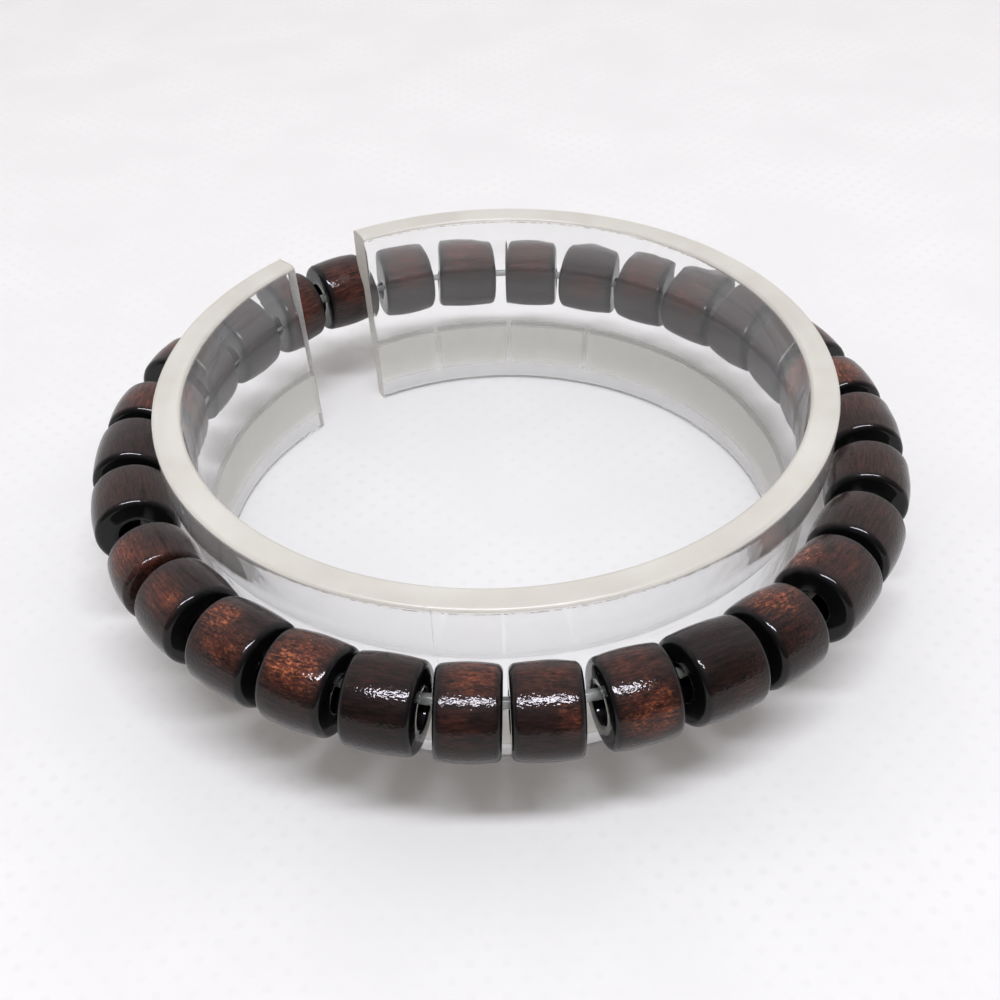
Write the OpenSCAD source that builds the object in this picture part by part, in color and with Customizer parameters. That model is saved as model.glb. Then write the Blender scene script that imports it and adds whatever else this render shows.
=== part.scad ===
// A bracelet of short wooden barrel beads on elastic cord, stretched over an
// open display ring of clear plastic. The origin is the middle of the bead
// circle, on the surface that the ring stands on. +Z is up, and -Y is the
// front. Sizes are in millimetres and angles in degrees, counted
// counter-clockwise from +X.

/* [Beads] */
// Diameter of a bead at its middle
bead_d = 8.0; // [7.6:0.05:8.1]
// Diameter of a bead where the rounding of its ends begins
bead_end_d = 7.7; // [7.3:0.05:7.8]
// Radius of the rounding between a bead's side and its end faces
bead_edge_r = 0.6; // [0.3:0.05:0.8]
// Diameter of the hole through a bead
bore_d = 3.4; // [3.3:0.05:4.0]

/* [String] */
// Radius of the circle on which the middles of the beads lie
string_r = 35.5; // [35.4:0.05:35.8]
// Height of the middle of that circle above the surface
string_h = 12.25; // [11.5:0.05:12.6]
// How far the circle slopes down towards +X
slope_right = 1.15; // [0:0.05:1.5]
// How far the circle slopes down towards +Y
slope_back = 1.5; // [0:0.05:2]
// Angle at which the middle of the first bead lies
first_angle = 274.1; // [260:0.1:290]

/* [Cord] */
// Diameter of the elastic cord
cord_d = 1.0; // [0.6:0.05:1.1]
// How far the stretched cord is drawn from the middle of the holes towards the ring
cord_in = 0.75; // [0.3:0.05:0.75]
// How far the cord lies above the middle of the holes, under their upper wall
cord_up = 0.3; // [0:0.05:0.35]
// Diameter of the knot that closes the cord, hidden inside a bead
knot_d = 1.9; // [1.6:0.05:2]
// Number of the bead that hides the knot
knot_bead = 16; // [1:1:30]

/* [Display ring] */
// Outer diameter of the rim at the top
rim_d = 64.4; // [63.6:0.1:64.6]
// Width of the flat rim
rim_w = 2.7; // [2.2:0.1:3.2]
// Height of the ring
ring_h = 21.0; // [19.5:0.5:23]
// Height of the thick band under the rim
lip_h = 6.7; // [5:0.1:7.5]
// Radius of the swell with which the band stands out from the wall
lip_round = 6.0; // [4:0.5:8]
// Outer diameter of the wall just under that band
waist_d = 61.9; // [61.4:0.1:62.4]
// Outer diameter of the foot
foot_d = 59.6; // [58.6:0.1:60.6]
// Thickness of the wall at the foot
foot_w = 1.5; // [1.3:0.1:2.2]
// Radius of the rounding along the ring's edges
ring_edge_r = 0.45; // [0.2:0.05:0.6]
// Angle at which the open slit begins
slit_angle = 117.7; // [100:0.1:140]
// Angle that the slit takes out of the ring
slit_span = 17.3; // [10:0.1:25]
// Distance of the ring's axis from the middle of the bead circle along X
ring_x = -0.25; // [-0.3:0.05:0.3]
// Distance of the ring's axis from the middle of the bead circle along Y
ring_y = 0.2; // [-0.3:0.05:0.3]

/* [Hidden] */
$fn = 72;
// Steps in which a rounded edge, and the swell of a bead's side, are drawn
edge_steps = 4;
swell_steps = 6;
// Share of the cord's distance from the middle of the hole that the knot keeps
knot_share = 0.7;

// One row for each bead, counter-clockwise: its length, the open space between
// it and the next bead at the inside of the circle, how far it is turned
// outward at its far end, and how far that end is tilted up
LENGTH = 0;
SPACE = 1;
TURN = 2;
TILT = 3;
BEADS = [
    [5.75, 0.70, 3.0, 0.0],
    [5.85, 0.30, 0.5, 1.0],
    [6.40, 0.15, 0.0, -3.0],
    [5.60, 1.30, 2.0, -2.0],
    [6.40, 0.30, 0.0, -2.0],
    [6.00, 1.70, 3.5, -0.5],
    [5.60, 1.35, 0.5, 3.0],
    [6.10, 0.60, 0.5, 1.0],
    [5.40, 1.25, -1.0, 0.5],
    [6.30, 0.95, 0.5, 0.5],
    [5.90, 0.55, -0.5, 0.0],
    [6.30, 0.40, 0.5, -0.5],
    [5.80, 0.45, -0.5, 0.5],
    [6.50, 0.50, 0.5, 0.0],
    [6.10, 0.95, -0.5, -0.5],
    [6.80, 0.65, 0.5, 1.0],
    [6.00, 1.10, 0.0, -0.5],
    [5.80, 0.85, -1.0, 0.0],
    [5.70, 1.70, 1.0, 0.5],
    [5.80, 2.10, 0.0, -0.5],
    [5.30, 2.60, -1.0, 0.0],
    [5.30, 0.40, -1.0, 0.5],
    [6.40, 0.65, -0.5, 0.0],
    [5.95, 2.50, 1.0, -2.0],
    [5.20, 0.20, 2.0, -0.5],
    [5.80, 0.55, 2.0, 1.0],
    [6.30, 0.15, -0.5, 0.5],
    [5.95, 0.15, 0.0, 1.0],
    [5.95, 0.30, -1.0, 1.0],
    [5.35, 0.00, -3.0, -1.0],
];
bead_count = len(BEADS);

// The inner edges of the end faces lie on this radius, where beads come closest
face_r = bead_end_d / 2 - bead_edge_r;
inside_r = string_r - face_r;

// Half of the angle that a bead takes up at the inside of the circle
function half_angle(i) = atan(BEADS[i][LENGTH] / 2 / inside_r);

// Sum of the first n values of a list
function sum_of(list, n) = n == 0 ? 0 : list[n - 1] + sum_of(list, n - 1);

// The spaces are stretched evenly, so that the last bead comes round to the first
widths = [for (i = [0:bead_count - 1]) 2 * half_angle(i)];
spaces = [for (row = BEADS) row[SPACE]];
space_angle = (360 - sum_of(widths, bead_count)) / sum_of(spaces, bead_count);

// Angle at which the middle of bead i lies
function bead_angle(i) =
    first_angle - half_angle(0) + sum_of(widths, i) + half_angle(i)
    + space_angle * sum_of(spaces, i);

// Name of bead i, counted from 1 with two digits
function bead_name(i) = str("bead_", i < 9 ? "0" : "", i + 1);

// Points along an arc about a centre, from one angle to another
function arc(centre, r, from, to) =
    [for (i = [0:edge_steps])
        let (a = from + (to - from) * i / edge_steps)
        centre + r * [cos(a), sin(a)]];

// A bead's side swells from its ends to its middle, and its edges are rounded
function bead_outline(length) =
    let (end = length / 2,
         side = end - bead_edge_r,
         swell = (bead_d - bead_end_d) / 2)
    concat([[bore_d / 2, -end]],
           arc([face_r, -side], bead_edge_r, -90, 0),
           [for (i = [1:swell_steps - 1])
               let (t = 2 * i / swell_steps - 1)
               [bead_end_d / 2 + swell * (1 - t * t), side * t]],
           arc([face_r, side], bead_edge_r, 0, 90),
           [[bore_d / 2, end]]);

// What lies in the sloping plane of the bead circle
module in_string_plane() {
    translate([0, 0, string_h])
        rotate([-slope_back, slope_right, 0])
            children();
}

// One bead, with its hole along the circle
module bead(i) {
    row = BEADS[i];
    color("#4a2a20")
        in_string_plane()
            rotate([0, 0, bead_angle(i)])
                translate([string_r, 0, 0])
                    rotate([row[TILT] - 90, 0, 0])
                        rotate([0, row[TURN], 0])
                            rotate_extrude()
                                polygon(bead_outline(row[LENGTH]));
}

// The cord is a whole round loop, which the stretched elastic keeps true, and
// its knot lies a little nearer the middle of the hole than the cord does
module elastic_cord() {
    color("#e4e4e0")
        in_string_plane() {
            translate([0, 0, cord_up])
                rotate_extrude($fn = 144)
                    translate([string_r - cord_in, 0])
                        circle(d = cord_d, $fn = 24);
            rotate([0, 0, bead_angle(knot_bead - 1)])
                translate([string_r - knot_share * cord_in, 0, knot_share * cord_up])
                    sphere(d = knot_d, $fn = 32);
        }
}

// Section of the display ring: a tapering wall that swells into a thick band along
// its rim
rim_r = rim_d / 2;
waist_r = waist_d / 2;
foot_r = foot_d / 2;
lip_z = ring_h - lip_h;
lip_turn = acos(1 - (rim_r - waist_r) / lip_round);
ring_section = concat(
    arc([foot_r - ring_edge_r, ring_edge_r], ring_edge_r, -90, 0),
    arc([rim_r - lip_round, lip_z + lip_round * sin(lip_turn)], lip_round, -lip_turn, 0),
    arc([rim_r - ring_edge_r, ring_h - ring_edge_r], ring_edge_r, 0, 90),
    arc([rim_r - rim_w + ring_edge_r, ring_h - ring_edge_r], ring_edge_r, 90, 180),
    arc([foot_r - foot_w + ring_edge_r, ring_edge_r], ring_edge_r, 180, 270));

// The ring runs round from one side of its slit to the other
module display_ring() {
    color("#dfe3e2", 0.45)
        translate([ring_x, ring_y, 0])
            rotate([0, 0, slit_angle + slit_span])
                rotate_extrude(angle = 360 - slit_span, $fn = 144)
                    polygon(ring_section);
}

display_ring();
elastic_cord();
for (i = [0:bead_count - 1]) {
    bead(i);
}
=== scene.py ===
# %% [markdown]
# # A bracelet of wooden beads on a clear display ring
# The bracelet is thirty short barrel beads on elastic cord, stretched over an open
# ring of clear plastic that stands on a pale sheet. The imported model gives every
# piece its place and its size. This lesson gives each piece its surface: turned and
# varnished wood, moulded plastic and elastic cord.

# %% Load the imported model
import math

import bpy
import numpy as np
from mathutils import Matrix, Vector


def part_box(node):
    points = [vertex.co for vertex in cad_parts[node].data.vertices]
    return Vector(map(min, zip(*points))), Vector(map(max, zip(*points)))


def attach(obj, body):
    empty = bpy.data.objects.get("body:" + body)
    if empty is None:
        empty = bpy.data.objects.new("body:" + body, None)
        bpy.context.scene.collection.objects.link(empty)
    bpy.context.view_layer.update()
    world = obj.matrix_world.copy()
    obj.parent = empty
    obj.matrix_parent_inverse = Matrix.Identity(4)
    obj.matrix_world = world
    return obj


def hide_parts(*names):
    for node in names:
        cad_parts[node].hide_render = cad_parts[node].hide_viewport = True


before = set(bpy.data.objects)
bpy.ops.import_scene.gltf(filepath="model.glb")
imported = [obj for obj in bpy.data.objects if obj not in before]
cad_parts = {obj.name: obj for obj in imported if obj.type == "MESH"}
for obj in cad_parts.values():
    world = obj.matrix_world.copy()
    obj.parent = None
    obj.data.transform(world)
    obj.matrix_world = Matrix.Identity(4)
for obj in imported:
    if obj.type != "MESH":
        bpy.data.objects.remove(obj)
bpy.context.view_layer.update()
MM = 0.001

# %% [markdown]
# ## Camera
# The photograph looks down on the bracelet at about 40 degrees from close by, as a
# telephone held in the hand does. A camera can be aimed by eye, or worked out from
# circles whose size is known. Here the rim and the beads are such circles, and these
# values are the ones that lay both on their place in the photograph.

# %% Camera
CAMERA_AT = Vector((-0.80, -101.97, 91.60)) * MM
CAMERA_DOWN = 40.4
CAMERA_YAW = -0.34
CAMERA_ROLL = -2.27
camera_data = bpy.data.cameras.new("camera")
camera_data.sensor_width = 36
camera_data.lens = 46.8
camera_data.clip_start = 1 * MM
camera_data.clip_end = 20
camera = bpy.data.objects.new("camera", camera_data)
bpy.context.collection.objects.link(camera)
camera.matrix_world = (
    Matrix.Translation(CAMERA_AT)
    @ Matrix.Rotation(math.radians(CAMERA_YAW), 4, "Z")
    @ Matrix.Rotation(math.radians(90 - CAMERA_DOWN), 4, "X")
    @ Matrix.Rotation(math.radians(CAMERA_ROLL), 4, "Z")
)
bpy.context.scene.camera = camera
bpy.context.scene.view_settings.view_transform = "Standard"
print("camera is", round(camera.location.length / MM), "mm from the middle of the beads")

# %% [markdown]
# ## Nodes
# Every surface here, and the sky too, is a small graph of nodes: patterns feed
# colours, and colours feed a shader. Such a graph can be drawn by hand. Written out,
# it can be read from top to bottom, because one line adds a node and says what
# feeds it. The irregular patterns are noise, which mostly stays between 0.35 and
# 0.65, so a range node stretches that part of it. Colours are given as a screen
# shows them, and turned into the linear light that shaders reckon with.


# %% Colours and nodes
def linear(screen):
    """A screen colour, such as "#8a4a2e", in linear light."""
    parts = [int(screen[i:i + 2], 16) / 255 for i in (1, 3, 5)]
    return [p / 12.92 if p <= 0.04045 else ((p + 0.055) / 1.055) ** 2.4 for p in parts] + [1.0]


def plug(tree, node, sockets):
    """Give sockets of a node a value, or a link from another node.

    A number as the key counts the sockets in use, and a node as the value stands for
    its first output in use.
    """
    in_use = [socket for socket in node.inputs if socket.enabled]
    for key, value in sockets.items():
        socket = in_use[key] if isinstance(key, int) else node.inputs[key]
        if isinstance(value, bpy.types.Node):
            value = next(output for output in value.outputs if output.enabled)
        if isinstance(value, bpy.types.NodeSocket):
            tree.links.new(value, socket)
        else:
            socket.default_value = value


def add(tree, kind, sockets=None, **settings):
    """Add a node with its settings and links."""
    made = tree.nodes.new(kind)
    for name, value in settings.items():
        setattr(made, name, value)
    plug(tree, made, sockets or {})
    return made


def new_material(name):
    """A material, its tree of nodes and its shader."""
    made = bpy.data.materials.new(name)
    made.use_nodes = True
    return made, made.node_tree, made.node_tree.nodes["Principled BSDF"]


def in_millimetres(tree):
    """The place on an object, in millimetres."""
    place = add(tree, "ShaderNodeTexCoord").outputs["Object"]
    return add(tree, "ShaderNodeVectorMath", {0: place, "Scale": 1 / MM}, operation="SCALE")


print("a mid grey on the screen is", round(linear("#808080")[0], 3), "in linear light")

# %% [markdown]
# ## Light
# The photograph has one bright, cool lamp overhead, a little towards the camera. The
# white bands that it draws on the beads are long and narrow, and the shadow is
# sharper at the front than at the sides, so the lamp is a wide bar.

# %% Lamp
LAMP_TILT = 18
LAMP_RIGHT = 3
LAMP_AWAY = 0.8
LAMP_WIDE = 0.53
LAMP_DEEP = 0.09
LAMP_WATTS = 4.0


def hang_bar(name, wide, deep, right, away):
    """A bar of light over the bracelet, turned towards the camera and to the right."""
    data = bpy.data.lights.new(name, "AREA")
    data.shape = "RECTANGLE"
    data.size = wide
    data.size_y = deep
    made = bpy.data.objects.new(name, data)
    bpy.context.collection.objects.link(made)
    made.matrix_world = (
        Matrix.Rotation(math.radians(LAMP_TILT), 4, "X")
        @ Matrix.Rotation(math.radians(right), 4, "Y")
        @ Matrix.Translation((0, 0, away))
    )
    made.visible_transmission = False
    return made


lamp = hang_bar("overhead_lamp", LAMP_WIDE, LAMP_DEEP, LAMP_RIGHT, LAMP_AWAY)
lamp.visible_glossy = False
lamp.data.energy = LAMP_WATTS
lamp.data.color = (0.945, 0.962, 1.0)
print("lamp looks", round(math.degrees(LAMP_WIDE / LAMP_AWAY)), "degrees wide from the bracelet")

# %% [markdown]
# ### Reflection of the lamp
# The lamp's reflections are burnt out in the photograph. A second bar shows in
# reflections alone, so it can be brighter than the light that it gives. It goes
# dark for light that has bounced off a matt surface, or the clear ring would
# throw its glare on the sheet.

# %% Reflection of the lamp
BAR_WIDE = 0.80
BAR_DEEP = 0.13
BAR_LIGHT = 36
BAR_RIGHT = -1.5
BAR_AWAY = 1.0
bar = hang_bar("lamp_reflection", BAR_WIDE, BAR_DEEP, BAR_RIGHT, BAR_AWAY)
bar.visible_diffuse = False
bar.data.energy = BAR_LIGHT * math.pi * BAR_WIDE * BAR_DEEP
bar.data.color = (0.93, 0.90, 1.0)
bar.data.use_nodes = True
shine = bar.data.node_tree
bounces = add(shine, "ShaderNodeLightPath").outputs["Diffuse Depth"]
unbounced = add(shine, "ShaderNodeMath", {0: bounces, 1: 0.5}, operation="LESS_THAN")
plug(shine, shine.nodes["Emission"], {"Strength": unbounced})
print("reflection of", round(bar.data.energy, 1), "W")

# %% [markdown]
# ### Sky
# The rest of the light is weaker. It is white above and warm near the horizon, and
# comes from all round except the front, where the camera is held. That is why the
# fronts of the beads are so dark and clear, and the shadows a little brown. The
# photograph deepens what is dark, so gloss sees a sky with a darker front.

# %% Sky that lights
SKY = 0.68
LOW_SKY = 0.6
HIGH = 0.7
DARK_PLACE = 0.50
DARK_TOWARDS = (0, -0.87, 0.5)
DARK_FROM = 0.2
DARK_FULL = 0.85
world = bpy.data.worlds.new("soft_sky")
bpy.context.scene.world = world
world.use_nodes = True
sky = world.node_tree
sky.nodes.clear()
direction = add(sky, "ShaderNodeTexCoord").outputs["Generated"]
nearness = add(sky, "ShaderNodeVectorMath", {0: direction, 1: DARK_TOWARDS}, operation="DOT_PRODUCT")
brightness = add(sky, "ShaderNodeMapRange",
                 {"Value": nearness, "From Min": DARK_FROM, "From Max": DARK_FULL,
                  "To Min": SKY, "To Max": DARK_PLACE}, interpolation_type="SMOOTHSTEP")
upwards = add(sky, "ShaderNodeSeparateXYZ", {0: direction}).outputs["Z"]
overhead = add(sky, "ShaderNodeMapRange", {"Value": upwards, "From Max": HIGH})
faded = add(sky, "ShaderNodeMapRange", {"Value": overhead, "To Min": LOW_SKY, "To Max": 1.0})
strength = add(sky, "ShaderNodeMath", {0: brightness, 1: faded}, operation="MULTIPLY")
warmth = add(sky, "ShaderNodeMix", {0: overhead, 1: linear("#ffe8d0"), 2: linear("#fffefe")},
             data_type="RGBA")
graded = add(sky, "ShaderNodeBackground", {"Color": warmth, "Strength": strength})
print("sky:", SKY, "above and", round(SKY * LOW_SKY, 2), "low down, at the back")

# %% Sky in reflections and behind the sheet
SKY_IN_GLOSS = 0.68
DARK_IN_GLOSS = 0.06
GLOSS_DARK_FROM = 0.0
GLOSS_DARK_FULL = 0.6
in_gloss = add(sky, "ShaderNodeMapRange",
               {"Value": nearness, "From Min": GLOSS_DARK_FROM, "From Max": GLOSS_DARK_FULL,
                "To Min": SKY_IN_GLOSS, "To Max": DARK_IN_GLOSS}, interpolation_type="SMOOTHSTEP")
glossed = add(sky, "ShaderNodeBackground", {"Color": linear("#f8f4f6"), "Strength": in_gloss})
plain = add(sky, "ShaderNodeBackground", {"Color": linear("#ececec"), "Strength": 1.0})
ray = add(sky, "ShaderNodeLightPath")
lighting = add(sky, "ShaderNodeMixShader", {0: ray.outputs["Is Diffuse Ray"], 1: glossed, 2: graded})
seen = add(sky, "ShaderNodeMixShader", {0: ray.outputs["Is Camera Ray"], 1: lighting, 2: plain})
add(sky, "ShaderNodeOutputWorld", {"Surface": seen})
print("sky in gloss:", SKY_IN_GLOSS, "all round and", DARK_IN_GLOSS, "in front")

# %% [markdown]
# ## Sheet
# The ring stands on white non-woven polypropylene, the felt-like stuff of light
# tents. Its fibres are welded together in staggered rows of small dimples, about
# 2.8 mm apart. The dimples and the cloudy spread of the fibres are shallow, so they
# are bump and a faint change of colour on a flat mesh, wide enough to have no edge
# in any view. The fibres scatter light, which leaves little of polypropylene's
# shine. Like the sky, the sheet is dimmer where it is seen in the gloss of the beads.

# %% Sheet
SHEET_ACROSS = 9.0
half = SHEET_ACROSS / 2
corners = [(-half, -half, 0), (half, -half, 0), (half, half, 0), (-half, half, 0)]
sheet_mesh = bpy.data.meshes.new("pale_sheet")
sheet_mesh.from_pydata(corners, [], [(0, 1, 2, 3)])
sheet = bpy.data.objects.new("pale_sheet", sheet_mesh)
bpy.context.collection.objects.link(sheet)
print("sheet:", SHEET_ACROSS, "m across")

# %% Patterns of the sheet
CLOUDS_PER_MM = 0.06
FIBRES_PER_MM = 3.0
DIMPLE_PITCH = 2.8
DIMPLE_FROM = 0.9
DIMPLE_FULL = 1.8
nonwoven, cloth, cloth_shader = new_material("white_nonwoven_polypropylene")
cloth_mm = in_millimetres(cloth)
clouds = add(cloth, "ShaderNodeTexNoise", {"Vector": cloth_mm, "Scale": CLOUDS_PER_MM, "Detail": 3.0})
fibres = add(cloth, "ShaderNodeTexNoise", {"Vector": cloth_mm, "Scale": FIBRES_PER_MM, "Detail": 4.0})
turned = add(cloth, "ShaderNodeVectorRotate", {"Vector": cloth_mm, "Angle": math.radians(45)},
             rotation_type="Z_AXIS")
row_pitch = DIMPLE_PITCH / math.sqrt(2)
rows = add(cloth, "ShaderNodeVectorMath", {0: turned, "Scale": 2 * math.pi / row_pitch},
           operation="SCALE")
waves = add(cloth, "ShaderNodeVectorMath", {0: rows}, operation="COSINE")
wave = add(cloth, "ShaderNodeSeparateXYZ", {0: waves})
crest = add(cloth, "ShaderNodeMath", {0: wave.outputs["X"], 1: wave.outputs["Y"]}, operation="ADD")
dimples = add(cloth, "ShaderNodeMapRange", {"Value": crest, "From Min": DIMPLE_FROM,
                                            "From Max": DIMPLE_FULL},
              interpolation_type="SMOOTHSTEP")
print("rows of dimples", round(row_pitch, 2), "mm apart")

# %% Colour and relief of the sheet
DIMPLE_DEPTH = 0.012
FIBRE_RELIEF = 0.35
DIM_IN_GLOSS = 0.3
shade = add(cloth, "ShaderNodeMapRange", {"Value": clouds, "From Min": 0.35, "From Max": 0.65})
tinted = add(cloth, "ShaderNodeMix", {0: shade, 1: linear("#efeeef"), 2: linear("#f3f2f3")},
             data_type="RGBA")
dotted = add(cloth, "ShaderNodeMix", {0: dimples, 1: tinted, 2: linear("#efeeef")}, data_type="RGBA")
relief = add(cloth, "ShaderNodeMath", {0: fibres, 1: FIBRE_RELIEF}, operation="MULTIPLY")
lowered = add(cloth, "ShaderNodeMath", {0: relief, 1: dimples}, operation="SUBTRACT")
raised = add(cloth, "ShaderNodeBump", {"Height": lowered, "Distance": DIMPLE_DEPTH * MM,
                                       "Strength": 0.5})
ray = add(cloth, "ShaderNodeLightPath")
glossy = ray.outputs["Is Glossy Ray"]
mirrored = add(cloth, "ShaderNodeMath", {0: glossy, 1: ray.outputs["Is Reflection Ray"]},
               operation="MULTIPLY")
dimmer = add(cloth, "ShaderNodeMath", {0: mirrored, 1: DIM_IN_GLOSS}, operation="MULTIPLY")
reflected = add(cloth, "ShaderNodeMix", {0: dimmer, 1: dotted, 2: linear("#000000")},
                data_type="RGBA")
plug(cloth, cloth_shader, {"Base Color": reflected, "Normal": raised, "Roughness": 0.9,
                           "IOR": 1.49, "Specular IOR Level": 0.2})
sheet_mesh.materials.append(nonwoven)
print("cloth:", len(cloth.nodes), "shader nodes")

# %% [markdown]
# ## Turned pieces
# Beads, ring and cord are all round bodies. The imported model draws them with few
# sides, which shows in a mirror-like varnish and in clear plastic. Each is turned
# again here with many more points. A lathe is the plainest way: one outline of
# radius and height, repeated round an axis.


# %% Lathe
def grid(rows, steps, closed_rows, closed_steps):
    """Corners of the faces between rows of points, as four arrays going round each face."""
    rows_used = np.arange(rows if closed_rows else rows - 1)
    steps_used = np.arange(steps if closed_steps else steps - 1)
    i, j = np.meshgrid(rows_used, steps_used, indexing="ij")
    next_i = (i + 1) % rows
    next_j = (j + 1) % steps
    return i * steps + j, i * steps + next_j, next_i * steps + next_j, next_i * steps + j


def lathe(outline, turns, closed_turn=True, closed_outline=False):
    """Points and faces of an outline of (radius, along), turned to each angle in degrees."""
    radius, along = np.array(outline).T
    angle = np.radians(turns)
    points = np.empty((len(turns), len(outline), 3))
    points[..., 0] = np.outer(np.cos(angle), radius)
    points[..., 1] = along
    points[..., 2] = np.outer(np.sin(angle), radius)
    faces = np.stack(grid(len(turns), len(outline), closed_turn, closed_outline), -1)
    return points, faces.reshape(-1, 4)


def arc(centre, radius, start, end, steps):
    """Points along an arc, from one angle in degrees to another."""
    angles = np.radians(np.linspace(start, end, steps + 1))
    return [(centre[0] + radius * math.cos(a), centre[1] + radius * math.sin(a)) for a in angles]


def straight(start, end, steps):
    """Points between two corners, without the corners."""
    shares = np.linspace(0, 1, steps + 1)[1:-1]
    return [tuple(np.array(start) + (np.array(end) - start) * share) for share in shares]


print("a lathe with", len(lathe([(1, 0), (1, 1)], [0, 120, 240])[1]), "faces makes a prism")


# %% Pieces and what their points hold
def piece(name, points, faces, node):
    """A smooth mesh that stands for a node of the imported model."""
    mesh = bpy.data.meshes.new(name)
    mesh.from_pydata(np.asarray(points).reshape(-1, 3).tolist(), [], faces)
    mesh.shade_smooth()
    made = bpy.data.objects.new(name, mesh)
    bpy.context.collection.objects.link(made)
    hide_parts(node)
    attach(made, "root")
    return made


def store(made, name, values, kind="FLOAT", field="value"):
    """Keep a number or a vector with each point, for a material to read."""
    stored = made.data.attributes.new(name, kind, "POINT")
    stored.data.foreach_set(field, values.ravel())


def read(items, field, width=3):
    """One row of numbers for each face or point of a mesh."""
    values = np.empty(len(items) * width)
    items.foreach_get(field, values)
    return values.reshape(-1, width)


print("the cord's node has", len(read(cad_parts["elastic_cord"].data.vertices, "co")), "points")

# %% [markdown]
# ## Beads
# A bead is a short barrel, 8 mm thick, turned along the grain, drilled and tumbled
# until its edges are round. No two are quite alike: the lengths differ, and the
# sides are a little uneven. The length and lie of each is read off its node. The
# node's faces tell the axis, because the outline of a turned piece looks the same
# all round it, and the ends are small beside the sides.


# %% Read each bead
def measure(name):
    """Middle, axis, half length and radius of a bead in mm, read off its node."""
    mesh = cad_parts[name].data
    area = read(mesh.polygons, "area", 1)
    normal = read(mesh.polygons, "normal")
    middle = (read(mesh.polygons, "center") * area).sum(0) / area.sum()
    axis = np.linalg.eigh((normal * area).T @ normal)[1][:, 0]
    onwards = np.cross((0, 0, 1), (middle[0], middle[1], 0))
    axis = axis * np.sign(axis @ onwards)
    points = read(mesh.vertices, "co") - middle
    along = points @ axis
    radius = np.linalg.norm(points - np.outer(along, axis), axis=1).max()
    return middle / MM, axis, np.ptp(along) / 2 / MM, radius / MM


bead_names = sorted(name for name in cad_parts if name.startswith("bead_"))
measured = {name: measure(name) for name in bead_names}
print("beads:", len(measured), "lengths", [round(2 * m[2], 2) for m in measured.values()])

# %% Outline of a bead
EDGE_R = 0.6
BORE_R = 1.7
SWELL = 0.15
BORE_CHAMFER = 0.12
CHAMFER_MIDDLE = 0.3 * BORE_CHAMFER
BORE_POINTS = (-0.3, -0.6)
EDGE_STEPS = 8
BARREL_STEPS = 24


def bead_outline(half_length, radius):
    """From the bore out over one end, along the side and back over the other end."""
    face_r = radius - SWELL - EDGE_R
    side = half_length - EDGE_R
    end = [(BORE_R, half_length * t) for t in BORE_POINTS]
    end.append((BORE_R, BORE_CHAMFER - half_length))
    end.append((BORE_R + CHAMFER_MIDDLE, CHAMFER_MIDDLE - half_length))
    end.append((BORE_R + BORE_CHAMFER, -half_length))
    end.append(((BORE_R + face_r) / 2, -half_length))
    end += arc((face_r, -side), EDGE_R, -90, 0, EDGE_STEPS)
    along_side = np.linspace(-1, 1, BARREL_STEPS + 1)[1:-1]
    barrel = [(radius - SWELL * t * t, side * t) for t in along_side]
    return end + barrel + [(r, -y) for r, y in reversed(end)]


BEAD_STEP = 3
BEAD_TURNS = np.arange(0, 360, BEAD_STEP)
example = bead_outline(3.0, 4.0)
print("bead outline:", len(example), "points,", len(example) * len(BEAD_TURNS), "faces a bead")

# %% [markdown]
# ### Where the wood shows
# The stain is nearly black at the ends, where the open grain drinks it, and on some
# beads the copper-red wood shows through the stain in patches. A picture of each
# bead would hold that, but a picture belongs to one bead and one view. Here each
# patch is a row: the bead, how strongly the wood shows, where its middle lies
# along the bead (-1 to 1) and round it (0 is outward, 90 is up), how far it
# reaches each way, and how much it breaks into flecks.

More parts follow.
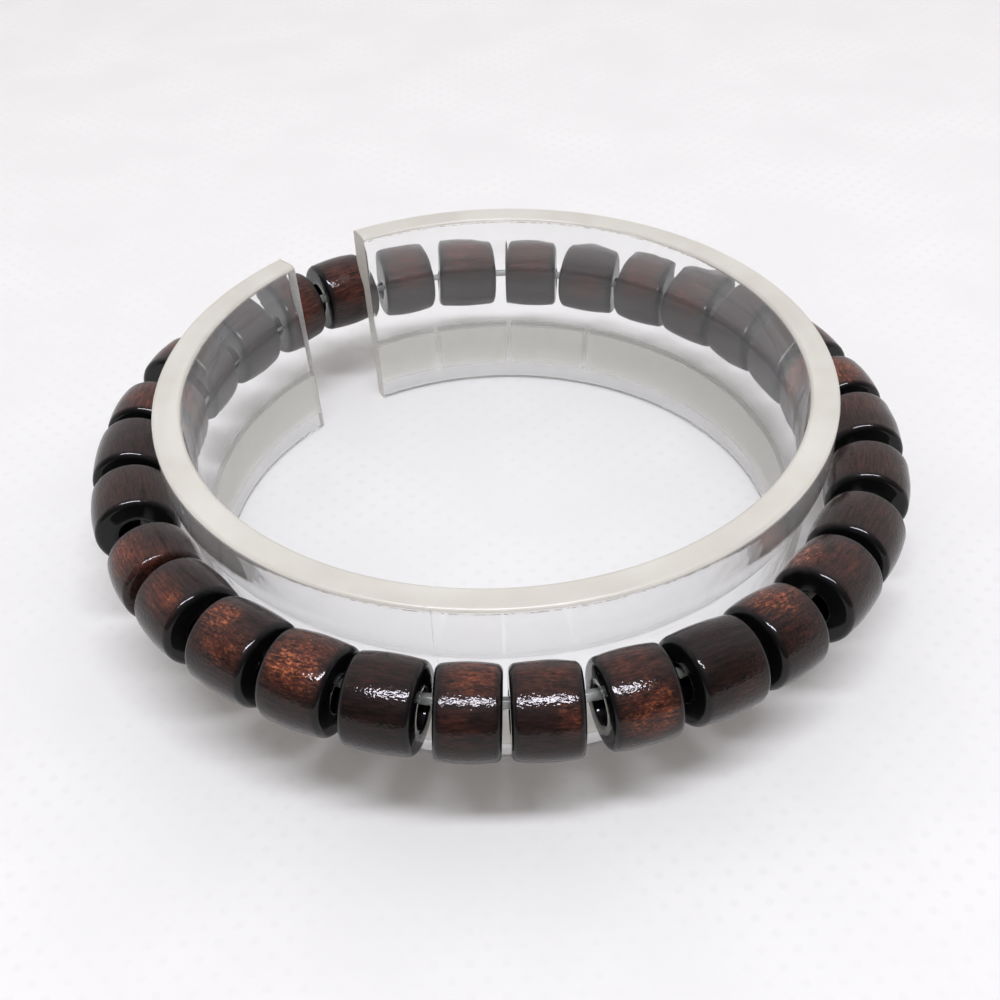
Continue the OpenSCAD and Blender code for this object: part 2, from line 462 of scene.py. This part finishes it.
# %% Patches of wood
NUMBER = 0
GLOW = 1
ALONG = 2
ROUND = 3
WIDE = 4
TALL = 5
FLECK = 6
PATCHES = [
    [1, 0.40, 0.0, 100, 0.9, 34, 0.3],
    [1, 0.35, 0.6, 42, 0.45, 20, 0.4],
    [2, 0.50, 0.1, 30, 0.75, 36, 0.7],
    [2, 0.40, -0.1, 95, 0.8, 30, 0.3],
    [3, 0.12, 0.2, 10, 0.6, 30, 0.2],
    [4, 0.85, 0.0, 102, 0.8, 30, 0.8],
    [4, 0.15, 0.0, 55, 0.7, 24, 0.5],
    [5, 1.00, -0.3, 127, 0.6, 26, 1.0],
    [5, 0.30, 0.0, 80, 0.7, 30, 0.2],
    [6, 0.12, 0.2, 70, 0.8, 60, 0.2],
    [7, 0.15, 0.0, 90, 0.8, 50, 0.1],
    [8, 0.30, 0.4, 90, 0.6, 40, 0.1],
    [9, 1.00, 0.0, 112, 0.9, 60, 0.6],
    [10, 0.70, 0.2, 45, 0.7, 36, 0.6],
    [12, 0.60, 0.0, 130, 0.8, 40, 0.1],
    [12, 0.50, -0.1, 30, 0.8, 30, 0.3],
    [13, 0.70, 0.0, 120, 0.8, 40, 0.1],
    [14, 0.60, -0.2, 170, 0.8, 22, 0.1],
    [15, 0.70, 0.0, 110, 0.9, 40, 0.1],
    [15, 0.85, -0.3, 40, 0.6, 30, 0.9],
    [16, 0.80, 0.0, 105, 0.9, 36, 0.2],
    [17, 0.70, 0.0, 125, 0.8, 40, 0.2],
    [17, 0.40, 0.2, 50, 0.7, 40, 0.3],
    [18, 0.60, 0.0, 130, 0.8, 40, 0.1],
    [19, 0.60, 0.0, 130, 0.8, 60, 0.1],
    [19, 0.70, 0.1, 20, 0.8, 36, 0.5],
    [21, 0.60, -0.2, 60, 0.7, 36, 0.4],
    [22, 0.90, 0.1, 105, 0.9, 50, 0.0],
    [24, 0.10, 0.0, 90, 0.8, 60, 0.1],
    [25, 1.00, -0.1, 52, 0.8, 28, 0.3],
    [25, 0.45, 0.7, 80, 0.5, 30, 0.1],
    [26, 0.75, 0.0, 60, 0.8, 22, 0.1],
    [26, 0.95, 0.5, 64, 0.28, 14, 0.5],
    [27, 0.95, -0.4, 85, 0.45, 24, 1.0],
    [27, 0.50, 0.1, 58, 0.75, 26, 0.6],
    [28, 0.95, 0.0, 66, 0.8, 26, 1.0],
    [28, 0.60, 0.0, 90, 0.85, 40, 0.6],
    [29, 0.10, 0.0, 100, 0.8, 40, 0.2],
    [30, 0.75, 0.2, 100, 0.8, 34, 0.5],
    [30, 0.15, -0.3, 35, 0.6, 30, 0.2],
]
PATCH_EDGE = 1.5


def wood_showing(number, along, round_deg):
    """How strongly the wood shows at points of a bead, and how much of that is flecks."""
    glow = np.zeros(along.shape)
    fleck = np.zeros(along.shape)
    for row in PATCHES:
        if row[NUMBER] == number:
            turn = (round_deg - row[ROUND] + 180) % 360 - 180
            reach = ((along - row[ALONG]) / row[WIDE]) ** 2 + (turn / row[TALL]) ** 2
            shown = row[GLOW] * np.exp(-reach ** PATCH_EDGE)
            fleck = np.where(shown > glow, row[FLECK], fleck)
            glow = np.maximum(glow, shown)
    return glow, fleck


print("patches:", len(PATCHES), "on", len({row[NUMBER] for row in PATCHES}), "beads")

# %% [markdown]
# The dye took differently on each bead as well. On the front beads it is almost
# black. Some at the sides are a paler, greyer brown. That is partly a paler dye and
# partly painted sheen, which stands for the varnish's reflection of the pale surroundings.

# %% How pale the dye is, with painted sheen on the side beads
PALE_DYE_AND_SHEEN = {1: 0.2, 2: 0.2, 3: 0.0, 4: 0.1, 5: 0.3, 6: 0.3, 7: 0.5, 8: 0.7, 9: 1.0,
            22: 0.8, 23: 0.3, 24: 0.5, 25: 0.4, 26: 0.3, 27: 0.2, 28: 0.2, 29: 0.0, 30: 0.1}
PALE_DYE_AND_SHEEN_ELSEWHERE = 0.5
print("palest dye:", max(PALE_DYE_AND_SHEEN.values()), "darkest:", min(PALE_DYE_AND_SHEEN.values()))

# %% [markdown]
# ### Turning them
# A hand lathe leaves each side a few hundredths of a millimetre uneven, and this is
# what makes the lamp's reflection wander. A slow wave round each bead does that, and
# it frays the edge of the dark end too. On two beads one end stayed clear of it.

# %% Uneven sides and dark ends
UNEVEN = 0.035
LOBES = (2, 3, 5)
WAVE_MOST = 1.1
DARK_END = 0.10
CLEAR_END = 0.75
RAGGED_END = 0.12
PLAIN_ENDS = [(25, 1), (26, -1)]


def slow_wave(number, along, round_deg):
    """A wave between about -1 and 1 over the side of a bead, and another one on each bead."""
    rng = np.random.default_rng(number)
    wave = np.zeros(along.shape)
    for lobes in LOBES:
        phase, slope = rng.uniform(0, 360, 2)
        wave += np.cos(np.radians(lobes * round_deg + phase + slope * along)) / lobes
    return wave


def dark_ends(number, half_length, from_middle, wave):
    """How much of the dark end lies over points of a bead, from 0 to 1."""
    from_end = half_length - np.abs(from_middle) + RAGGED_END * wave
    for side in (-1, 1):
        if (number, side) in PLAIN_ENDS:
            from_end = np.where(from_middle * side > 0, CLEAR_END, from_end)
    share = np.clip((CLEAR_END - from_end) / (CLEAR_END - DARK_END), 0, 1)
    return share * share * (3 - 2 * share)


print("sides uneven by", UNEVEN, "mm, ends dark for", DARK_END, "to", CLEAR_END, "mm")

# %% Turn the beads
BORE_EDGE = 0.5
GRAIN_SHIFT = 17.0
GRAIN_WAY = np.array([1.0, 0.7, 0.4])


def turn_bead(number, name):
    """A bead in its place, with what its material has to know about each point."""
    middle, axis, half_length, radius = measured[name]
    outward = middle * (1, 1, 0)
    outward = outward - axis * (outward @ axis)
    outward = outward / np.linalg.norm(outward)
    up = np.cross(outward, axis)
    points, faces = lathe(bead_outline(half_length, radius), BEAD_TURNS)
    along = points[..., 1] / half_length
    round_deg = np.broadcast_to(BEAD_TURNS[:, None], along.shape)
    wave = slow_wave(number, along, round_deg)
    outer = np.hypot(points[..., 0], points[..., 2]) > BORE_R + BORE_EDGE
    inward = np.where(outer, 1 - UNEVEN / radius * (1 + wave / WAVE_MOST) / 2, 1)
    points[..., 0] *= inward
    points[..., 2] *= inward
    local = points.reshape(-1, 3)
    placed = (middle + local @ np.array([outward, axis, up])) * MM
    bead = piece("wood_" + name, placed, faces.tolist(), name)
    glow, fleck = wood_showing(number, along, round_deg)
    end = np.where(outer, dark_ends(number, half_length, points[..., 1], wave), 1)
    store(bead, "grain", local + GRAIN_SHIFT * number * GRAIN_WAY, "FLOAT_VECTOR", "vector")
    store(bead, "glow", glow)
    store(bead, "fleck", fleck)
    store(bead, "end", end)
    # The stored paleness is partly dye and partly painted sheen.
    store(bead, "pale_dye_and_sheen", np.full(along.shape, PALE_DYE_AND_SHEEN.get(number, PALE_DYE_AND_SHEEN_ELSEWHERE)))
    return bead


beads = [turn_bead(number, name) for number, name in enumerate(bead_names, 1)]
print("turned", len(beads), "beads,", sum(len(b.data.polygons) for b in beads), "faces")

# %% [markdown]
# ### Stained and varnished wood
# The beads are a pale wood, dyed dark brown and dipped in clear varnish. Under the
# varnish the fibres run along the bead, and the least stained ones shine like
# copper. Real fibres are too fine to show at this distance, so they are drawn
# several times coarser. Each pattern is drawn in the bead's own millimetres.

# %% Patterns of the wood
FIBRE_ACROSS = 0.22
FIBRE_ALONG = 1.6
FLECK_ACROSS = 0.20
FLECK_ALONG = 0.45
MOTTLE = 1.1
varnished, wood, wood_shader = new_material("stained_and_varnished_wood")
grain = add(wood, "ShaderNodeAttribute", attribute_name="grain").outputs["Vector"]
glow = add(wood, "ShaderNodeAttribute", attribute_name="glow").outputs["Fac"]
fleck = add(wood, "ShaderNodeAttribute", attribute_name="fleck").outputs["Fac"]
end = add(wood, "ShaderNodeAttribute", attribute_name="end").outputs["Fac"]
pale_dye_and_sheen = add(wood, "ShaderNodeAttribute", attribute_name="pale_dye_and_sheen").outputs["Fac"]
fibre_scale = (1 / FIBRE_ACROSS, 1 / FIBRE_ALONG, 1 / FIBRE_ACROSS)
fibre_place = add(wood, "ShaderNodeVectorMath", {0: grain, 1: fibre_scale}, operation="MULTIPLY")
fibre = add(wood, "ShaderNodeTexNoise", {"Vector": fibre_place, "Scale": 1.0, "Detail": 3.0,
                                         "Distortion": 0.4})
fleck_scale = (1 / FLECK_ACROSS, 1 / FLECK_ALONG, 1 / FLECK_ACROSS)
fleck_place = add(wood, "ShaderNodeVectorMath", {0: grain, 1: fleck_scale}, operation="MULTIPLY")
flecks = add(wood, "ShaderNodeTexNoise", {"Vector": fleck_place, "Scale": 1.0, "Detail": 2.0,
                                          "Distortion": 0.8})
mottle = add(wood, "ShaderNodeTexNoise", {"Vector": grain, "Scale": 1 / MOTTLE, "Detail": 2.0})
print("fibres", FIBRE_ACROSS, "mm wide, flecks", FLECK_ALONG, "mm long")

# %% [markdown]
# The dark dye comes first, then the red wood where it shows, then the copper flecks
# in it, and the sealed, almost black ends lie over all.

# %% Wood colours
RAGGED_LEAST = 0.35
fibre_light = add(wood, "ShaderNodeMapRange", {"Value": fibre, "From Min": 0.35, "From Max": 0.68})
fleck_light = add(wood, "ShaderNodeMapRange", {"Value": flecks, "From Min": 0.50, "From Max": 0.68})
ragged = add(wood, "ShaderNodeMapRange", {"Value": mottle, "From Min": 0.35, "From Max": 0.62,
                                          "To Min": RAGGED_LEAST, "To Max": 1.0})
deep = add(wood, "ShaderNodeMix", {0: fibre_light, 1: linear("#0e0706"), 2: linear("#261411")},
           data_type="RGBA")
# The pale pair is greyer: partly a paler dye, partly painted sheen.
pale = add(wood, "ShaderNodeMix", {0: fibre_light, 1: linear("#261816"), 2: linear("#402c28")},
           data_type="RGBA")
stain = add(wood, "ShaderNodeMix", {0: pale_dye_and_sheen, 1: deep, 2: pale}, data_type="RGBA")
red_wood = add(wood, "ShaderNodeMix", {0: fibre_light, 1: linear("#381811"), 2: linear("#80402f")},
               data_type="RGBA")
showing = add(wood, "ShaderNodeMath", {0: glow, 1: ragged}, operation="MULTIPLY")
reddened = add(wood, "ShaderNodeMix", {0: showing, 1: stain, 2: red_wood}, data_type="RGBA")
bright = add(wood, "ShaderNodeMath", {0: fleck_light, 1: fleck}, operation="MULTIPLY")
brighter = add(wood, "ShaderNodeMath", {0: bright, 1: showing}, operation="MULTIPLY")
coppered = add(wood, "ShaderNodeMix", {0: brighter, 1: reddened, 2: linear("#c8764c")},
               data_type="RGBA")
sealed = add(wood, "ShaderNodeMix", {0: end, 1: coppered, 2: linear("#0b0a0b")}, data_type="RGBA")
plug(wood, wood_shader, {"Base Color": sealed})
print("wood colours:", sum(node.bl_idname == "ShaderNodeMix" for node in wood.nodes), "mixes")

# %% [markdown]
# Varnish over open-pored wood is glossy but pitted, so the lamp's reflection breaks
# into white crumbs, while the sealed ends stay smooth. Fresh varnish has an index of
# refraction of 1.5. This one is thin and worn, and 1.4 gives its weaker shine. The
# wood under it has no gloss of its own to speak of.

# %% Varnish
PIT = 0.24
PIT_LONG = 0.8
PIT_DEPTH = 0.032
pit_scale = (1 / PIT, PIT_LONG / PIT, 1 / PIT)
pit_place = add(wood, "ShaderNodeVectorMath", {0: grain, 1: pit_scale}, operation="MULTIPLY")
pits = add(wood, "ShaderNodeTexNoise", {"Vector": pit_place, "Scale": 1.0, "Detail": 1.0,
                                        "Roughness": 0.5})
open_pored = add(wood, "ShaderNodeMath", {0: 1.0, 1: end}, operation="SUBTRACT")
depth = add(wood, "ShaderNodeMath", {0: pits, 1: open_pored}, operation="MULTIPLY")
pitted = add(wood, "ShaderNodeBump", {"Height": depth, "Distance": PIT_DEPTH * MM, "Strength": 1.0})
plug(wood, wood_shader, {"Normal": pitted, "Coat Normal": pitted, "Roughness": 0.5, "IOR": 1.5,
                         "Specular IOR Level": 0.1, "Coat Weight": 1.0, "Coat Roughness": 0.05,
                         "Coat IOR": 1.4})
for bead in beads:
    bead.data.materials.append(varnished)
print("varnished wood:", len(wood.nodes), "shader nodes, pits", PIT, "mm wide")

# %% [markdown]
# ## Display ring
# The ring is injection-moulded in clear polystyrene: a tapering wall with a thick
# band under its rim, cut open at the back left so that it can spring. Its edges are
# rounded, and a thin raised line runs up it where the halves of the mould met. The
# section is turned with many steps, because clear plastic bends what is behind it
# and would show every flat. The swell of the band starts one degree late, which
# takes the sharp corner off where it meets the wall.

# %% Section of the ring
ring_low, ring_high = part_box("display_ring")
RIM_R = (ring_high[0] - ring_low[0]) / 2 / MM
RING_X = (ring_high[0] + ring_low[0]) / 2 / MM
RING_Y = (ring_high[1] + ring_low[1]) / 2 / MM
RING_H = ring_high[2] / MM
RIM_W = 2.7
LIP_H = 6.7
LIP_ROUND = 6.0
WAIST_R = 30.95
FOOT_R = 29.8
FOOT_W = 1.5
RING_EDGE = 0.45
LIP_START = 1
ROUNDING_STEPS = 5
WALL_STEPS = 40
SWELL_STEPS = 20
RIM_STEPS = 6
INSIDE_STEPS = 16
lip_z = RING_H - LIP_H
lip_turn = math.acos(1 - (RIM_R - WAIST_R) / LIP_ROUND)
lip_centre = (RIM_R - LIP_ROUND, lip_z + LIP_ROUND * math.sin(lip_turn))
inside_high = (RIM_R - RIM_W, RING_H - RING_EDGE)
inside_low = (FOOT_R - FOOT_W, RING_EDGE)
outline = arc((FOOT_R - RING_EDGE, RING_EDGE), RING_EDGE, -90, 0, ROUNDING_STEPS)
outline += straight((FOOT_R, RING_EDGE), (WAIST_R, lip_z), WALL_STEPS)
outline += arc(lip_centre, LIP_ROUND, LIP_START - math.degrees(lip_turn), 0, SWELL_STEPS)
outline += straight((RIM_R, lip_centre[1]), (RIM_R, RING_H - RING_EDGE), RIM_STEPS)
outline += arc((RIM_R - RING_EDGE, RING_H - RING_EDGE), RING_EDGE, 0, 90, ROUNDING_STEPS)
outline += arc((inside_high[0] + RING_EDGE, inside_high[1]), RING_EDGE, 90, 180, ROUNDING_STEPS)
outline += straight(inside_high, inside_low, INSIDE_STEPS)
outline += arc((inside_low[0] + RING_EDGE, RING_EDGE), RING_EDGE, 180, 270, ROUNDING_STEPS)
print("ring: rim", round(RIM_R * 2, 2), "mm across,", len(outline), "points a section")

# %% Steps round the ring
SLIT_AT = 117.7
SLIT_SPAN = 17.3
RING_STEP = 0.5
SEAMS = (86.2, 259.0)
SEAM_W = 0.35
SEAM_H = 0.06
RIBS = (67.5, 86.0, 103.0)
RIB_W = 0.9
NEAR_LINE = np.arange(-1.0, 1.05, 0.1)
turns = np.linspace(SLIT_AT + SLIT_SPAN, SLIT_AT + 360, int((360 - SLIT_SPAN) / RING_STEP))
close = [line + 360 * (line < SLIT_AT) + NEAR_LINE for line in SEAMS + RIBS]
turns = np.unique(np.concatenate([turns, *close]).round(3))
print("ring:", len(turns), "steps, closer beside", len(close), "lines")


# %% Turn the ring
def along_rim(at):
    """How far each step lies from an angle, in mm along the rim."""
    return np.radians((turns - at + 180) % 360 - 180) * RIM_R


points, faces = lathe(outline, turns, closed_turn=False, closed_outline=True)
points = points[..., [0, 2, 1]]
for seam in SEAMS:
    ridge = SEAM_H * np.exp(-(along_rim(seam) / (SEAM_W / 2)) ** 2)
    points[..., :2] *= 1 + ridge[:, None, None] / RIM_R
points += (RING_X, RING_Y, 0)
faces = [face[::-1] for face in faces.tolist()]
last = (len(turns) - 1) * len(outline)
caps = [list(range(len(outline))), [last + k for k in reversed(range(len(outline)))]]
ring = piece("clear_ring", points * MM, faces + caps, "display_ring")
on_rib = sum(np.exp(-(along_rim(at) / (RIB_W / 2)) ** 4) for at in RIBS)
store(ring, "rib", np.repeat(np.clip(on_rib, 0, 1), len(outline)))
print("ring:", len(ring.data.polygons), "faces")

# %% [markdown]
# ### Moulded polystyrene
# Where the mould was polished the plastic is as clear as glass. Low on the wall a
# band came out of a matt part of the mould, with three paler stripes where its parts
# met. The outside of the thick band is a little milky, where beads rub along it.
# The top of the rim was ground flat and rubbed by handling, so it is milky and a
# little yellow. A broken line along its edge is darker and less clear. Each of these
# is a share of the plastic that is clear, from 0 to 1. The matt band ends within a
# few tenths of a millimetre, and the milky one fades in along the swell.

# %% Where each finish lies
MATT_LOW = 2.3
MATT_HIGH = 7.3
SOFT = 0.2
BAND_FROM_R = 30.2
BAND_FADE = 1.5
polystyrene, clear, clear_shader = new_material("clear_moulded_polystyrene")
spot = in_millimetres(clear)
height = add(clear, "ShaderNodeSeparateXYZ", {0: spot}).outputs["Z"]
above = add(clear, "ShaderNodeMapRange", {"Value": height, "From Min": MATT_LOW - SOFT,
                                          "From Max": MATT_LOW + SOFT})
below = add(clear, "ShaderNodeMapRange", {"Value": height, "From Min": MATT_HIGH + SOFT,
                                          "From Max": MATT_HIGH - SOFT})
matt = add(clear, "ShaderNodeMath", {0: above, 1: below}, operation="MULTIPLY")
centred = add(clear, "ShaderNodeVectorMath", {0: spot, 1: (-RING_X, -RING_Y, 0)}, operation="ADD")
sidelong = add(clear, "ShaderNodeVectorMath", {0: centred, 1: (1, 1, 0)}, operation="MULTIPLY")
distance = add(clear, "ShaderNodeVectorMath", {0: sidelong}, operation="LENGTH")
outside = add(clear, "ShaderNodeMapRange", {"Value": distance, "From Min": BAND_FROM_R,
                                            "From Max": BAND_FROM_R + SOFT})
high_up = add(clear, "ShaderNodeMapRange", {"Value": height, "From Min": lip_z,
                                            "From Max": lip_z + BAND_FADE})
band = add(clear, "ShaderNodeMath", {0: outside, 1: high_up}, operation="MULTIPLY")
rib = add(clear, "ShaderNodeAttribute", attribute_name="rib").outputs["Fac"]
print("matt from", MATT_LOW, "to", MATT_HIGH, "mm, milky from", round(lip_z, 2), "mm up")

# %% How clear each finish is
FOOT = 0.85
CLEAR = 0.997
BAND = 0.89
MATT = 0.45
RIB_CLEAR = 0.80
HAZE = -0.02
HAZES_PER_MM = 0.25
upper = add(clear, "ShaderNodeMapRange", {"Value": band, "To Min": CLEAR, "To Max": BAND})
wall = add(clear, "ShaderNodeMix", {0: above, 1: FOOT, 2: upper}, data_type="FLOAT")
striped_matt = add(clear, "ShaderNodeMix", {0: rib, 1: MATT, 2: RIB_CLEAR}, data_type="FLOAT")
dulled = add(clear, "ShaderNodeMix", {0: matt, 1: wall, 2: striped_matt}, data_type="FLOAT")
haze = add(clear, "ShaderNodeTexNoise", {"Vector": spot, "Scale": HAZES_PER_MM, "Detail": 3.0})
hazy = add(clear, "ShaderNodeMath", {0: haze, 1: HAZE, 2: dulled}, operation="MULTIPLY_ADD")
print("clear share: foot", FOOT, "wall", CLEAR, "band", BAND, "matt", MATT, "stripes", RIB_CLEAR)

# %% Ground rim and the dark line along its edge
GROUND = 0.2
GROUND_FADE = (0.6, 0.3)
EDGE_LINE_HALF = 0.04
EDGE_LINE_CLEAR = 0.3
LINE_BREAKS_PER_MM = 3.0
normal = add(clear, "ShaderNodeNewGeometry").outputs["Normal"]
facing_up = add(clear, "ShaderNodeSeparateXYZ", {0: normal}).outputs["Z"]
flat = add(clear, "ShaderNodeMapRange", {"Value": facing_up, "From Min": 0.0, "From Max": 0.5})
top = add(clear, "ShaderNodeMapRange", {"Value": height, "From Min": RING_H - GROUND_FADE[0],
                                        "From Max": RING_H - GROUND_FADE[1]})
rim_top = add(clear, "ShaderNodeMath", {0: flat, 1: top}, operation="MULTIPLY")
clearness = add(clear, "ShaderNodeMix", {0: rim_top, 1: hazy, 2: GROUND}, data_type="FLOAT")
# A thin band at the height where the rim's rounding starts breaks into a darker, less clear line.
edge = add(clear, "ShaderNodeMath", {0: height, 1: RING_H - RING_EDGE, 2: EDGE_LINE_HALF},
           operation="COMPARE")
line_breaks = add(clear, "ShaderNodeTexNoise", {"Vector": spot, "Scale": LINE_BREAKS_PER_MM, "Detail": 3.0})
broken_line = add(clear, "ShaderNodeMapRange", {"Value": line_breaks, "From Min": 0.48, "From Max": 0.54})
dark_edge_line = add(clear, "ShaderNodeMath", {0: edge, 1: broken_line}, operation="MULTIPLY")
passing = add(clear, "ShaderNodeMix", {0: dark_edge_line, 1: clearness, 2: EDGE_LINE_CLEAR}, data_type="FLOAT")
print("clear share: rim", GROUND, "and its edge", EDGE_LINE_CLEAR, "over", EDGE_LINE_HALF * 2, "mm")

# %% [markdown]
# The colours follow the same places. Yellow streaks on the rim run round it, so
# their pattern is squeezed upright. A slow ripple in the wall bends the view a
# little. Polystyrene's index of refraction is 1.59. In so thin a wall 1.5 bends the
# view alike, and mirrors as little as the photograph shows.

# %% Colour and gloss of the polystyrene
STREAKS_PER_MM = (0.15, 0.15, 1.5)
RIPPLES_PER_MM = 0.4
RIPPLE_DEPTH = 0.05
GROUND_ROUGH = 0.3
striped = add(clear, "ShaderNodeMix", {0: rib, 1: linear("#e9e8e3"), 2: linear("#fdfcfa")},
              data_type="RGBA")
banded = add(clear, "ShaderNodeMix", {0: matt, 1: linear("#ffffff"), 2: striped}, data_type="RGBA")
streak_place = add(clear, "ShaderNodeVectorMath", {0: spot, 1: STREAKS_PER_MM},
                   operation="MULTIPLY")
streak = add(clear, "ShaderNodeTexNoise", {"Vector": streak_place, "Scale": 1.0, "Detail": 3.0})
yellowed = add(clear, "ShaderNodeMapRange", {"Value": streak, "From Min": 0.35, "From Max": 0.65})
ground = add(clear, "ShaderNodeMix", {0: yellowed, 1: linear("#e9e6df"), 2: linear("#dfdbd2")},
             data_type="RGBA")
tint = add(clear, "ShaderNodeMix", {0: rim_top, 1: banded, 2: ground}, data_type="RGBA")
# The line along the rim's edge is greyish brown.
edge_lined = add(clear, "ShaderNodeMix", {0: dark_edge_line, 1: tint, 2: linear("#9c9286")}, data_type="RGBA")
rough = add(clear, "ShaderNodeMapRange", {"Value": rim_top, "To Min": 0.0, "To Max": GROUND_ROUGH})
ripple = add(clear, "ShaderNodeTexNoise", {"Vector": spot, "Scale": RIPPLES_PER_MM, "Detail": 1.0})
rippled = add(clear, "ShaderNodeBump", {"Height": ripple, "Distance": RIPPLE_DEPTH * MM,
                                        "Strength": 0.5})
plug(clear, clear_shader, {"Base Color": edge_lined, "Transmission Weight": passing,
                           "Roughness": rough, "Normal": rippled, "IOR": 1.5})
ring.data.materials.append(polystyrene)
print("polystyrene:", len(clear.nodes), "shader nodes")

# %% [markdown]
# ### Light through the ring
# The lamp shines straight through the plastic for shadow rays, since the light that
# the clear wall bends aside is too little to see. Each face that a ray passes takes
# a little of it.


# %% Light through the ring
def let_lamp_through(tree, shader):
    """Shadow rays pass straight through the plastic, and lose a little at each face."""
    shadow = add(tree, "ShaderNodeLightPath").outputs["Is Shadow Ray"]
    open_way = add(tree, "ShaderNodeBsdfTransparent", {"Color": linear("#eeeeee")})
    either = add(tree, "ShaderNodeMixShader", {0: shadow, 1: shader, 2: open_way})
    plug(tree, tree.nodes["Material Output"], {"Surface": either})


let_lamp_through(clear, clear_shader)
print("a face of the ring passes", round(linear("#eeeeee")[0], 2), "of the lamp's light")

# %% [markdown]
# ### Sawn polystyrene
# The slit was sawn, which leaves its two faces matt and scored by the strokes of
# the saw. The scores run across the wall, close above each other.

# %% Sawn polystyrene
STROKES_PER_MM = (0.6, 0.6, 4)
STROKE_DEPTH = 0.03
sawn, cut, cut_shader = new_material("sawn_polystyrene")
stroke_place = add(cut, "ShaderNodeVectorMath", {0: in_millimetres(cut), 1: STROKES_PER_MM},
                   operation="MULTIPLY")
strokes = add(cut, "ShaderNodeTexNoise", {"Vector": stroke_place, "Scale": 1.0, "Detail": 2.0})
milky_cut = add(cut, "ShaderNodeMapRange", {"Value": strokes, "From Min": 0.3, "From Max": 0.7,
                                            "To Min": 0.35, "To Max": 0.15})
scored = add(cut, "ShaderNodeBump", {"Height": strokes, "Distance": STROKE_DEPTH * MM,
                                     "Strength": 0.5})
plug(cut, cut_shader, {"Base Color": linear("#efede6"), "Transmission Weight": milky_cut,
                       "Roughness": 0.4, "Normal": scored, "IOR": 1.5})
let_lamp_through(cut, cut_shader)
ring.data.materials.append(sawn)
for face in ring.data.polygons[-len(caps):]:
    face.use_smooth = False
    face.material_index = 1
print("sawn faces:", sum(face.material_index for face in ring.data.polygons))

# %% [markdown]
# ## Elastic cord
# The beads are threaded on round polyurethane cord, 1 mm thick. It shows only in the
# gaps between beads. It lies against the inner wall of the holes, and its knot, a
# twisted lump, is pulled into a bead. A curve with a round bevel would do for a
# plain cord. This one changes its thickness at the knot, so it is a mesh of rings of
# points. The middles of the beads tell its circle and the slope of that.

# %% Circle of the cord
CORD_IN = 0.75
CORD_UP = 0.3
middles = np.array([m[0] for m in measured.values()])
string_middle = np.array([0, 0, middles[:, 2].mean()])
plane = np.linalg.svd(middles - middles.mean(0))[2][2]
plane = plane * np.sign(plane[2])
cord_r = np.linalg.norm(middles - string_middle, axis=1).mean() - CORD_IN
sideways = np.cross((0, 1, 0), plane)
sideways = sideways / np.linalg.norm(sideways)
ahead = np.cross(plane, sideways)
slope = math.degrees(math.acos(plane[2]))
print("cord: circle of radius", round(cord_r, 2), "mm, sloping", round(slope, 2), "degrees")

# %% Cord
CORD_R = 0.5
CORD_STEP = 0.75
ROUND_STEP = 15
KNOT_BEAD = 16
KNOT_R = 0.9
KNOT_LENGTH = 1.0
KNOT_SHIFT = 0.3
KNOT_LUMPS = 3
KNOT_TWIST = 60
KNOT_GROOVE = 0.15
knot_at = measured[bead_names[KNOT_BEAD - 1]][0] - string_middle
knot_angle = math.atan2(knot_at @ ahead, knot_at @ sideways)
steps = np.radians(np.arange(0, 360, CORD_STEP))
around = np.radians(np.arange(0, 360, ROUND_STEP))
off = (steps - knot_angle + math.pi) % (2 * math.pi) - math.pi
knot = np.exp(-(off * cord_r / KNOT_LENGTH) ** 4)[:, None]
lumps = 1 - KNOT_GROOVE + KNOT_GROOVE * np.cos(KNOT_LUMPS * around + off[:, None] * KNOT_TWIST)
thickness = CORD_R + (KNOT_R - CORD_R) * knot * lumps
reach = cord_r + KNOT_SHIFT * CORD_IN * knot + thickness * np.cos(around)
rise = CORD_UP * (1 - KNOT_SHIFT * knot) + thickness * np.sin(around)
cord_points = (string_middle
               + (reach * np.cos(steps)[:, None])[..., None] * sideways
               + (reach * np.sin(steps)[:, None])[..., None] * ahead
               + rise[..., None] * plane)
corner, up, across, onward = grid(len(steps), len(around), True, True)
cord_faces = np.stack([corner, onward, across, up], -1).reshape(-1, 4).tolist()
cord = piece("polyurethane_cord", cord_points * MM, cord_faces, "elastic_cord")
print("cord:", len(cord_faces), "faces")

# %% [markdown]
# ### Polyurethane
# The cord is extruded, clear when new, and goes milky in places as it is stretched.
# Its skin is smooth but dull to the eye from wear.

# %% Polyurethane
MILK_PER_MM = 0.8
polyurethane, elastic, elastic_shader = new_material("clear_polyurethane_elastic")
milk = add(elastic, "ShaderNodeTexNoise", {"Vector": in_millimetres(elastic),
                                           "Scale": MILK_PER_MM, "Detail": 2.0})
milky = add(elastic, "ShaderNodeMapRange", {"Value": milk, "From Min": 0.3, "From Max": 0.7,
                                            "To Min": 0.45, "To Max": 0.75})
plug(elastic, elastic_shader, {"Base Color": linear("#e3e6e3"), "Transmission Weight": milky,
                               "Roughness": 0.25, "IOR": 1.5})
cord.data.materials.append(polyurethane)
print("polyurethane:", len(elastic.nodes), "shader nodes")
